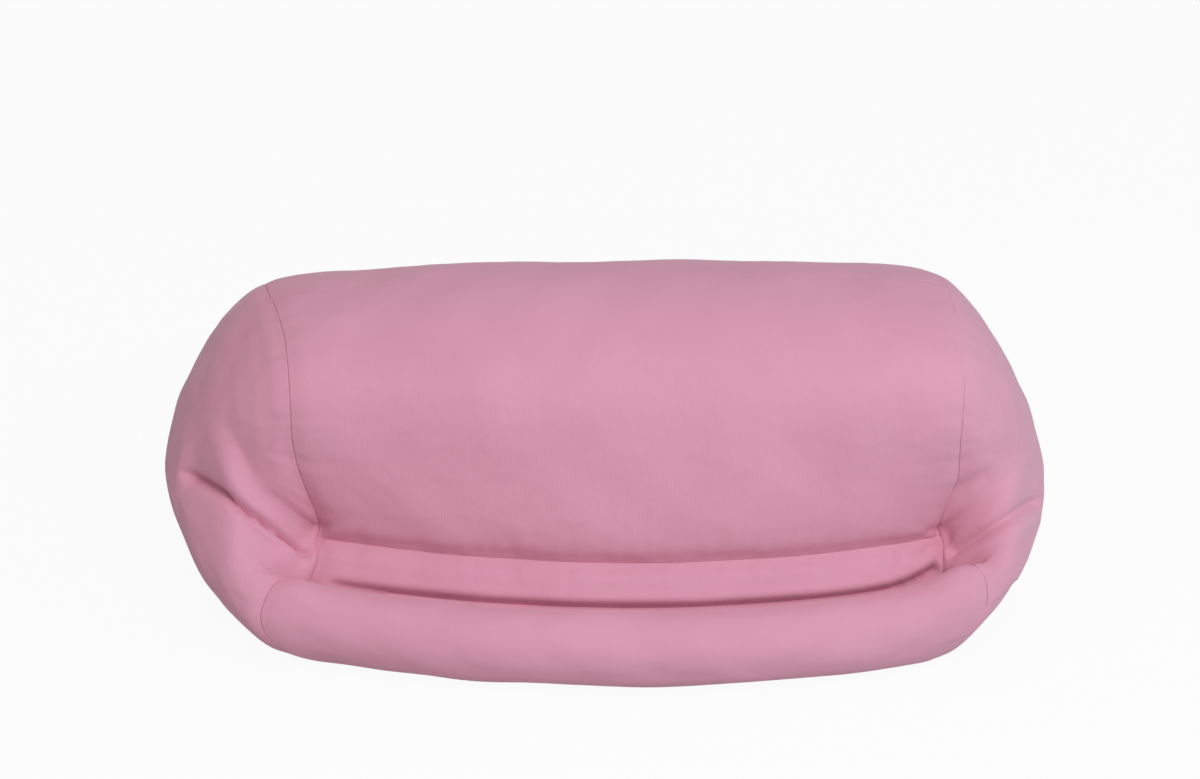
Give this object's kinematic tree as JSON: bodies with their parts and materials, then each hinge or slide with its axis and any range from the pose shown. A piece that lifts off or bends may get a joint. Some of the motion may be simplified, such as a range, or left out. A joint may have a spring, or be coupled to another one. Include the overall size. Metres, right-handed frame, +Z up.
{
  "type": "beanbag tablet stand",
  "caption": "Bead-filled cushion with domed ends and a front roll whose groove holds a tablet upright against the log-shaped backrest; refill zip across the lower back.",
  "frame": {"origin": "centre of the footprint's box, on the surface that the cushion stands on", "axes": "+X along the cushion to the viewer's right, -Y towards the viewer (the front roll), +Z up"},
  "size_m": [0.354, 0.1889, 0.127],
  "materials": {
    "cover_fabric": "soft pink brushed stretch fabric",
    "liner_fabric": "plain white woven liner round the bead and fibre filling",
    "zip_tape": "woven pink tape with moulded pink teeth",
    "zip_metal": "nickel-plated die casting"
  },
  "bodies": {
    "cushion": {"main_panel": "cover_fabric", "ledge_panel": "cover_fabric", "roll_panel": "cover_fabric", "base_panel": "cover_fabric", "left_end_panel": "cover_fabric", "right_end_panel": "cover_fabric", "baffle_web": "liner_fabric", "bead_bag": "liner_fabric", "roll_bolster": "liner_fabric", "zip_tape_upper": "zip_tape", "zip_tape_lower": "zip_tape", "zip_top_stop_upper": "zip_metal", "zip_top_stop_lower": "zip_metal", "zip_bottom_stop": "zip_metal"},
    "slider": {"zip_slider": "zip_metal"},
    "pull_tab": {"zip_pull_tab": "zip_metal"}
  },
  "joints": [
    {"name": "zip_slide", "type": "slide", "parent": "cushion", "child": "slider", "axis": [-1, 0, 0], "range_m": [0, 0.16], "deforming": ["zip_tape_upper", "zip_tape_lower"]},
    {"name": "tab_swing", "type": "hinge", "parent": "slider", "child": "pull_tab", "pos_m": [0.087, 0.09142, 0.04663], "axis": [0, 0, -1], "range_deg": [0, 170]}
  ]
}
